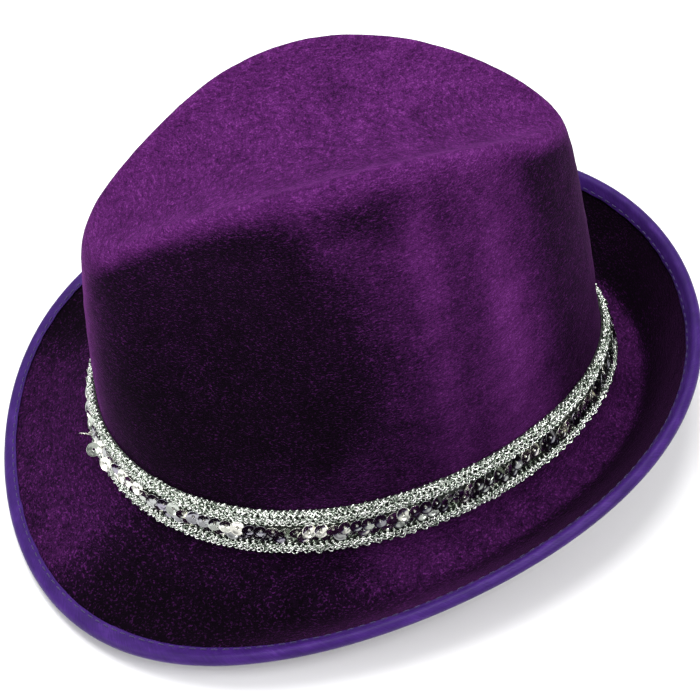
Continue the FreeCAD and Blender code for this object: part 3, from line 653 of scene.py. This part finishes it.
def nap_and_painted_light_of(place, angle):
    """How the pile lies, together with painted light and shade: 0 is dark, 1 is bright. The dark is partly
    pile pressed away and partly painted shade; the bright is painted light. It follows the folds of the hat.
    """
    degrees = from_front(angle)
    share = (place - CREST - 1) / len(WALL_SHARES)
    # the pressed dent, dark from pile pressed away and from painted shade, with a round edge behind it
    dent_edge = 95.0 - 12.0 * ((share - 0.45) / 0.4) ** 2
    dent = bell(degrees, 56.0, 38.0) ** 0.5 * (1 - blend(degrees, dent_edge - 8.0, dent_edge + 3.0))
    low_light = blend(share, 0.74, 1.02) * blend(degrees, 52.0, 74.0)
    dent = np.clip(dent * 1.15, 0, 1) * (1 - low_light)
    # painted highlights: bright streaks behind the dent and a bright front ridge; painted shade: the dark
    # turn to the rear and darker patches by the dent
    lower_down = 0.6 + 0.4 * blend(share, 0.1, 0.5)
    streak = 0.17 * bell(degrees, 105.0, 5.0) + 0.23 * bell(degrees, 123.0, 8.0) * lower_down
    streak = streak - 0.16 * bell(degrees, 97.0, 11.0) * bell(share, 0.02, 0.07)
    behind_dent = 0.11 * blend(share, 0.1, 0.7) * (1 - blend(degrees, 100.0, 116.0))
    front_ridge = 0.36 * bell(degrees, 3.0, 13.0)
    rear = 0.19 * blend(degrees, 132.0, 142.0)
    wall = 0.45 + streak + front_ridge - rear - behind_dent - 0.27 * dent
    # the top, brighter than the wall as painted light, and a little brighter along the crest as a painted
    # highlight
    top = 0.59 + 0.05 * bell(place, CREST, 0.9)
    on_wall = blend(place, CREST + 0.25, CREST + 1.15)
    # the brim, in painted shade: black where it curls up at the rear, dark along the near side
    curl = blend(degrees, 88.0, 124.0) * blend(place, EDGE - 4.3, EDGE - 3.1)
    near_side = blend(degrees, 20.0, 38.0)
    inner = 0.23 * (1 - blend(degrees, 68.0, 92.0))
    outer = 0.15 * (1 - blend(degrees, 84.0, 108.0)) * blend(place, EDGE - 5.5, EDGE - 2.0)
    brim = 0.39 + 0.07 * blend(degrees, 76.0, 96.0) - 0.46 * curl - near_side * (inner + outer)
    on_brim = blend(place, BAND_LOW - 0.5, BAND_LOW)
    return (top * (1 - on_wall) + wall * on_wall) * (1 - on_brim) + brim * on_brim


def fans(first, last, centre):
    """Triangles that close the first and last rows of a skin onto two middle points, centre and the next."""
    return [np.stack([first, np.roll(first, -1), np.full(len(first), centre)], -1),
            np.stack([np.roll(last, -1), last, np.full(len(last), centre + 1)], -1)]


def closed_skin(name, outer, inner, material):
    """A skin over the crown, capped at the top: outer rows from the top down, inner rows back up."""
    rows = np.concatenate([outer, inner])
    columns = rows.shape[1]
    count = len(rows) * columns
    ring = np.arange(columns)
    points = np.concatenate([rows.reshape(-1, 3), [outer[0].mean(0)], [inner[-1].mean(0)]])
    faces = [grid_faces(len(rows), columns)] + fans(ring, count - columns + ring, count)
    return make_mesh(name, points, faces, material)


def velour_cover(material):
    """The pile surface, a little uneven, and the cover's back; each point carries its nap with painted light
    and shade.
    """
    columns = 400
    angle = loop_angles(columns)
    above, below = np.linspace(0.0, BAND_LOW - 0.4, 112), np.linspace(BAND_LOW - 0.3, EDGE, 50)
    places = np.concatenate([above, below])
    flat_angle, flat_place = np.tile(angle, len(places)), np.repeat(places, columns)
    point, _, _, normal = surface(flat_place, flat_angle)
    relief = 0.16 * noise(point, 11.0, 1) + 0.10 * noise(point, 4.5, 2) + 0.06 * noise(point, 2.0, 3)
    outer = (point + normal * relief[:, None]).reshape(len(places), columns, 3)
    under = np.linspace(EDGE, 0.0, 40)
    back, _, _, back_normal = surface(np.repeat(under, columns), np.tile(angle, len(under)))
    inner = (back - back_normal * VELOUR).reshape(len(under), columns, 3)
    obj = closed_skin("velour_cover_pile", outer, inner, material)
    count = len(obj.data.vertices)
    values = np.full(count, 0.3)
    # the nap values carry painted light and shade as well as how the pile lies
    values[:len(flat_place)] = nap_and_painted_light_of(flat_place, flat_angle)
    values[count - 2] = values[:columns].mean()
    nap_and_painted_light = obj.data.attributes.new("nap_and_painted_light", "FLOAT", "POINT")
    nap_and_painted_light.data.foreach_set("value", values)
    return obj


def layer(name, depth, thickness, first, last, material, columns=240):
    """A cloth or felt layer under the velour, slightly uneven; it is closed over the top where first is 0."""
    angle = loop_angles(columns)
    places = np.linspace(first, last, max(int((last - first) * 5), 6))
    flat_place, flat_angle = np.repeat(places, columns), np.tile(angle, len(places))
    point, _, _, normal = surface(flat_place, flat_angle)
    uneven = 0.05 * noise(point, 6.0, 11)
    shape = (len(places), columns, 3)
    outer = (point - normal * (depth - uneven[:, None])).reshape(shape)
    inner = (point - normal * (depth + thickness + uneven[:, None])).reshape(shape)[::-1]
    if first > 0.0:
        return bands(name, [np.concatenate([outer, inner])], material)
    return closed_skin(name, outer, inner, material)


# ---- binding and stitching ----

def brim_binding(material):
    """Folded satin tape with small puckers along its inner edges, pulled in at the line of stitches."""
    angle = loop_angles(720)
    point, down, _, normal = surface(float(EDGE), angle)
    span = BINDING_WIDTH - EDGE_INSET
    middle = STACK / 2
    pucker = noise(point, 3.2, 21) * 0.16 + noise(point, 1.5, 22) * 0.07
    outer, inner = [], []
    for radius, rows in ((NOSE_OUTER, outer), (NOSE_INNER, inner)):
        straight = np.linspace(span, NOSE_CENTRE + 0.5, 9)
        path = [(inward, middle - radius, -1) for inward in straight]
        path += [(NOSE_CENTRE - radius * math.sin(t), middle - radius * math.cos(t), 0)
                 for t in np.linspace(0.0, math.pi, 13)]
        path += [(inward, middle + radius, 1) for inward in straight[::-1]]
        for inward, depth, face in path:
            near_stitch = bell(inward, span - BINDING_STITCH_INSET, 0.7) * 0.12
            free = blend(inward, NOSE_CENTRE, span)
            lift = (pucker * free - near_stitch) * (1 if face else 0)
            depth_here = depth + (lift if face > 0 else -lift)
            edge_wave = 0.25 * free * noise(point, 5.0, 23)
            rows.append(point - down * (inward + edge_wave)[:, None] - normal * depth_here[:, None])
    return bands("brim_binding_tape", [np.stack(outer + inner[::-1])], material)


def stitch_shape(length):
    """A short thread bar along its own X, dipping into the cloth at both ends."""
    share = np.linspace(-1.0, 1.0, 9)
    radius = STITCH_DIAMETER / 2 * np.sqrt(1.02 - share ** 6)
    turn = 2 * math.pi * np.arange(8) / 8
    return np.array([[(x * length / 2, r * math.cos(t), r * math.sin(t) - 0.28 * x ** 4) for t in turn]
                     for x, r in zip(share, radius)])


def binding_stitching(material):
    def seam(angle):
        """Where the stitches lie on the upper leg of the binding, with the ways round and up."""
        point, down, around, normal = surface(float(EDGE), angle)
        inward = BINDING_WIDTH - EDGE_INSET - BINDING_STITCH_INSET
        return point - down * inward + normal * (NOSE_OUTER - STACK / 2 + 0.05), around, normal
    origin, around, normal = seam(even_angles(lambda a: seam(a)[0], BINDING_STITCH_PITCH))
    return scatter("binding_stitches", stitch_shape(BINDING_STITCH_LENGTH),
                   (origin, around, np.cross(normal, around), normal), material)


# ---- sweatband, tab and label ----

def inside_band(height, angle, depth=SWEATBAND_DEPTH + SWEATBAND):
    point, _, around, normal = surface(place_above_band(angle, height), angle)
    return point - normal * depth, around, normal


def inside_band_y(height, x):
    """How far back the inner face of the sweatband is, at a distance to the side of the rear."""
    point = inside_band(height, np.linspace(math.pi, math.pi - 0.5, 60))[0]
    return np.interp(x, point[:, 0], point[:, 1])


def sweatband(material):
    """Grosgrain ribbon turned in along its edges, a little wavy between its stitches."""
    angle = loop_angles(480)
    heights = np.linspace(SWEATBAND_LOWER_GAP, SWEATBAND_LOWER_GAP + SWEATBAND_HEIGHT, 15)
    outer, inner = [], []
    for height in heights:
        edge = bell(height, heights[0], 1.2) + bell(height, heights[-1], 1.2)
        face = inside_band(height, angle, SWEATBAND_DEPTH)
        wave = 0.10 * noise(face[0], 14.0, 31)
        outer.append(face[0] - face[2] * (0.12 * edge + 0.1 + wave)[:, None])
        inner.append(face[0] - face[2] * (SWEATBAND - 0.12 * edge + wave * 0.6)[:, None])
    return bands("sweatband_ribbon", [np.stack(outer + inner[::-1])], material)


def sweatband_stitching(material):
    height = SWEATBAND_LOWER_GAP + SWEATBAND_STITCH_INSET
    angle = even_angles(lambda a: inside_band(height, a)[0], SWEATBAND_STITCH_PITCH)
    origin, around, normal = inside_band(height, angle)
    return scatter("sweatband_stitches", stitch_shape(SWEATBAND_STITCH_LENGTH),
                   (origin, around, np.cross(around, normal), -normal), material)


def join_tab(material):
    middle = SWEATBAND_LOWER_GAP + SWEATBAND_HEIGHT / 2

    def point_at(u, v):
        height = middle + (v - 0.5) * TAB_HEIGHT
        level = np.array([inside_band(h, np.array([math.pi]))[0][0, 2] for h in height[:, 0]])
        back = np.array([inside_band_y(h, TAB_WIDTH / 2) for h in height[:, 0]])
        ravel = 0.12 * np.sin(v * 60.0) * (np.abs(u - 0.5) * 2) ** 8
        x = (0.5 - u) * TAB_WIDTH + ravel
        y = back[:, None] - GLUE_LINE - TAB_THICKNESS / 2 - 0.05 * u
        return np.stack([x, y, np.broadcast_to(level[:, None], u.shape)], -1)

    return cloth_patch("sweatband_tab", point_at, 13, 21, TAB_THICKNESS, material)


def care_label(material, hinge):
    """Satin label with a hem round its thread; blank, softly curled towards its lower corners."""
    radius = (LABEL_HEM_DIAMETER - LABEL_THICKNESS) / 2
    hang = LABEL_LENGTH - radius
    turned = 4.0
    lengths = np.array([hang, 2 * math.pi * radius, turned])

    def point_at(u, v):
        along = v * lengths.sum()
        x = (u - 0.5) * LABEL_WIDTH
        z = np.where(along < hang, along - hang - radius, 0.0)
        curl = (0.35 * np.sin(u * 3.1 + 0.3) + 0.25 * np.sin(z * 0.16 + u * 2.0)) * blend(-z, 2.0, 20.0)
        y = -curl
        turn = (along - hang) / radius - math.pi / 2
        in_hem = (along >= hang) & (along < hang + lengths[1])
        y = np.where(in_hem, -radius * np.cos(turn), y)
        z = np.where(in_hem, radius * np.sin(turn), z)
        fall = along - hang - lengths[1]
        y = np.where(fall >= 0, LABEL_THICKNESS + 0.05, y)
        z = np.where(fall >= 0, -radius - fall, z)
        return np.stack([x, y, z], -1) + hinge

    return cloth_patch("care_label_satin", point_at, 27, 90, LABEL_THICKNESS * 0.9, material)


def label_stitching(material, hinge):
    """The thread through the hem; its ends turn back into the sweatband."""
    half = LABEL_WIDTH / 2 + LABEL_THREAD_OVERHANG
    height = SWEATBAND_LOWER_GAP + SWEATBAND_HEIGHT - LABEL_DROP
    reach = inside_band_y(height, half) - hinge[1] + THREAD_BITE
    bend = 0.8
    corner = [(half - bend + bend * math.sin(t), bend - bend * math.cos(t))
              for t in np.linspace(0, math.pi / 2, 7)]
    right = [(0.0, 0.0)] + corner + [(half, reach)]
    path = [(-x, y) for x, y in right[:0:-1]] + right
    line = np.array([(x, y, 0.0) for x, y in path]) + hinge
    along = unit(np.gradient(line, axis=0))
    upright = np.broadcast_to([0.0, 0.0, 1.0], line.shape)
    side = np.cross(along, upright)
    radius = STITCH_DIAMETER / 2
    turn = 2 * math.pi * np.arange(8) / 8
    shape = np.stack([line + radius * (math.cos(t) * side + math.sin(t) * upright) for t in turn], 1)
    unmoved = (np.zeros((1, 3)), *(np.eye(3)[k][None] for k in range(3)))
    return scatter("label_thread", shape, unmoved, material)


# ---- sequin trim ----

def trim_frame(angle, height, out):
    """Point, up, round and outward on the trim, at a height above its lower edge and a distance out."""
    point, down, around, normal = surface(place_above_band(angle, height), angle)
    return point + normal * np.broadcast_to(out, angle.shape)[:, None], -down, around, normal


def band_backing(material):
    angle = loop_angles(400)
    heights = np.linspace(0.0, TRIM_HEIGHT, 9)
    outer = [trim_frame(angle, h, GLUE_LINE + BACKING)[0] for h in heights]
    inner = [trim_frame(angle, h, GLUE_LINE)[0] for h in heights[::-1]]
    return bands("trim_tape", [np.stack(outer + inner)], material)


def yarn(height, out, pitch, seed, scallop):
    """One row of crocheted loops round the hat, each crossing the one before it."""
    per, lift, sway = 12, 0.85, 0.75
    angle = even_angles(lambda a: trim_frame(a, height, out)[0], pitch, per)
    count = np.arange(len(angle))
    turn = 2 * math.pi * count / per + seed
    point, up, around, normal = trim_frame(angle, height, out)
    uneven = 1.0 + 0.30 * noise(point, 2.4, seed)
    swell = scallop * np.abs(np.sin(math.pi * count / per * pitch / SEQUIN_PITCH))
    high = lift * np.cos(turn) * uneven + swell + 0.25 * noise(point, 1.7, seed + 50)
    forward = 0.45 * np.sin(2 * turn + 0.6) + 0.35 * noise(point, 1.3, seed + 90)
    line = point - around * (sway * np.sin(turn) * uneven)[:, None]
    line = line + up * high[:, None] + normal * forward[:, None]
    return tube(line, normal, YARN_DIAMETER / 2, 5)


def braid(name, rows, material):
    """Rows of yarn, each given by its height, distance from the tape, pitch and the rise of its scallops."""
    back = 2 * GLUE_LINE + BACKING
    loops = [yarn(height, back + out, pitch, seed, scallop)
             for seed, (height, out, pitch, scallop) in enumerate(rows)]
    return bands(name, loops, material)


def upper_braid(material):
    low = TRIM_HEIGHT - UPPER_BRAID
    rows = [(low + 0.5, 1.3, 2.3, 0.0), (low + 1.6, 1.6, 2.5, 0.0), (low + 2.5, 0.6, 2.1, 0.0),
            (low + 2.7, 1.7, 2.4, 0.0), (low + 3.9, 0.9, 2.3, 0.8), (low + 4.3, 0.2, 2.3, 0.5)]
    return braid("upper_braid", rows, material)


def lower_braid(material):
    rows = [(0.75, 0.7, 2.25, -0.9), (1.2, 1.1, 2.2, 0.0), (2.1, 1.5, 2.5, 0.0), (3.0, 1.2, 2.3, 0.0)]
    return braid("lower_braid", rows, material)


def sequin_shape():
    """A dished disc with a hole."""
    rim, hole, thick = SEQUIN_DIAMETER / 2, SEQUIN_HOLE_DIAMETER / 2, SEQUIN_THICKNESS
    face = [(hole, 0.0), (hole + 0.02, thick * 0.6), (hole + 0.3, thick * 0.8), (rim * 0.5, thick + 0.05),
            (rim * 0.75, thick + 0.20), (rim - 0.1, thick + 0.46), (rim, thick + 0.44)]
    back = [(rim - 0.05, thick + 0.3), (rim * 0.7, 0.06)]
    return rings(face + back, 28)


def row_angles(shift):
    found = even_angles(lambda a: trim_frame(a, SEQUIN_MIDDLE, SEQUIN_BASE)[0], SEQUIN_PITCH)
    return found + shift * 2 * math.pi / len(found)


def sequins(name, row, material):
    """A row that overlaps like scales, with each sequin lying at its own slight angle."""
    height, out, shift = row
    angle = row_angles(shift)
    point, up, around, normal = trim_frame(angle, height, out)
    tilt = np.radians(SEQUIN_TILT + random.uniform(-9.0, 14.0, len(angle)))
    nod = np.radians(random.uniform(-21.0, 21.0, len(angle)))
    leaning = normal * np.cos(tilt)[:, None] + around * np.sin(tilt)[:, None]
    z_axis = unit(leaning + up * np.sin(nod)[:, None])
    y_axis = unit(np.cross(z_axis, up))
    return scatter(name, sequin_shape(), (point, np.cross(y_axis, z_axis), y_axis, z_axis), material,
                   random.uniform(0.0, 1.0, len(angle)), capped=False)


def loose_places():
    """Angle, distance out, tilt and turn of each loose sequin, which hangs on a thread of the upper row."""
    _, out, shift = UPPER_SEQUINS
    row = row_angles(shift)
    nearest = np.array([row[np.argmin(np.abs(row - math.radians(at)))] for at, _, _ in LOOSE_SEQUINS_AT])
    tilt, turn = (np.radians([place[k] for place in LOOSE_SEQUINS_AT]) for k in (1, 2))
    rise = SEQUIN_DIAMETER / 2 * np.sin(tilt) + SEQUIN_THICKNESS
    return nearest, out + SEQUIN_LIFT + SEQUIN_THICKNESS + LOOSE_SEQUIN_GAP + rise, tilt, turn


def loose_sequins(material):
    angle, out, tilt, turn = loose_places()
    point, up, around, normal = trim_frame(angle, UPPER_SEQUINS[0], out)
    sideways = around * np.cos(turn)[:, None] + up * np.sin(turn)[:, None]
    z_axis = normal * np.cos(tilt)[:, None] + sideways * np.sin(tilt)[:, None]
    y_axis = unit(np.cross(z_axis, np.cross(normal, sideways)))
    places = (point, np.cross(y_axis, z_axis), y_axis, z_axis)
    return scatter("loose_sequins_hanging", sequin_shape(), places, material, np.array([0.9, 0.6, 0.8]),
                   capped=False)


def sequin_threads(material):
    """A thread with a small knot over each sequin, longer and thinner where a loose sequin hangs on it."""
    start = 2 * GLUE_LINE + BACKING
    knot = [(0.2, 0.0), (0.2, 0.78), (0.27, 0.84), (0.30, 0.92), (0.24, 0.98), (0.1, 1.0)]
    origins, lengths = [], []
    loose_angle, loose_out, _, _ = loose_places()
    for row in (UPPER_SEQUINS, LOWER_SEQUINS):
        angle = row_angles(row[2])
        end = np.full(len(angle), row[1] + SEQUIN_THICKNESS + THREAD_ABOVE_SEQUIN)
        if row is UPPER_SEQUINS:
            for at, out in zip(loose_angle, loose_out):
                end[np.argmin(np.abs(angle - at))] = out - 0.9
        origins.append(trim_frame(angle, row[0], start))
        lengths.append(end - start)
    point, up, _, normal = (np.concatenate(parts) for parts in zip(*origins))
    stretched = normal * np.concatenate(lengths)[:, None]
    return scatter("sequin_knots", rings(knot, 9), (point, up, np.cross(normal, up), stretched), material)


# ---- the scene ----

make_camera()
make_studio()

felt = cloth_material("felt", (0.010, 0.004, 0.014), (0.040, 0.018, 0.055))
lining = woven_material("lining_weave", (0.004, 0.0035, 0.005), (0.018, 0.016, 0.022), 0.0006)
facing = cloth_material("brim_cloth", (0.010, 0.002, 0.016), (0.046, 0.009, 0.064))
ribbon = woven_material("grosgrain", (0.002, 0.002, 0.0025), (0.016, 0.015, 0.018), 0.0009, 0.6, 0.1, True)
label_satin = woven_material("label_satin", (0.60, 0.60, 0.58), (0.86, 0.86, 0.84), 0.0004, 0.45, 0.1)
tape = woven_material("trim_weave", (0.012, 0.014, 0.012), (0.075, 0.085, 0.072), 0.0007)
black_thread = thread_material("black_thread", (0.004, 0.004, 0.005), (0.03, 0.028, 0.034))
violet_thread = thread_material("violet_thread", (0.010, 0.004, 0.045), (0.030, 0.012, 0.105))
pale_thread = thread_material("pale_thread", (0.30, 0.29, 0.26), (0.72, 0.70, 0.64))
lurex = lurex_material()
film = sequin_material()

cover = give(velour_cover(velour_material()), replaces=["velour_cover"])
tip = give(layer("crown_tip_felt", VELOUR + GLUE_LINE, FELT, 0.0, TIP_END, felt),
           replaces=["crown_tip_core"])
side = give(layer("crown_side_felt", VELOUR + GLUE_LINE, FELT, SIDE_START, BAND_LOW, felt),
            replaces=["crown_side_core"])
brim = give(layer("brim_felt", VELOUR + GLUE_LINE, FELT, BRIM_START, EDGE, felt),
            replaces=["brim_core"])
crown_lining = give(layer("crown_lining_cloth", LINING_DEPTH, LINING, 0.0, BAND_LOW, lining),
                    replaces=["crown_lining"])
under_brim = give(layer("brim_facing_cloth", LINING_DEPTH, LINING, BRIM_START, EDGE, facing, 360),
                  replaces=["brim_facing"])
binding = give(brim_binding(satin_material()), replaces=["brim_binding"])
give(binding_stitching(violet_thread), replaces=["binding_stitching"])
band = give(sweatband(ribbon), replaces=["sweatband"])
give(sweatband_stitching(black_thread), replaces=["sweatband_stitching"])
tab = give(join_tab(ribbon), replaces=["sweatband_join_tab"])

hinge = np.array(frame["record"]["behaviour"]["joints"][0]["pos_m"]) * 1000.0 - SHIFT
label = give(care_label(label_satin, hinge), "label", replaces=["care_label"])
give(label_stitching(black_thread, hinge), replaces=["label_stitching"])

backing = give(band_backing(tape), replaces=["band_backing"])
give(upper_braid(lurex), replaces=["band_edge_upper"])
give(lower_braid(lurex), replaces=["band_edge_lower"])
give(sequins("sequins_upper", UPPER_SEQUINS, film), replaces=["sequins_upper_row"])
give(sequins("sequins_lower", LOWER_SEQUINS, film), replaces=["sequins_lower_row"])
give(loose_sequins(film), replaces=["loose_sequins"])
give(sequin_threads(pale_thread), replaces=["sequin_thread"])
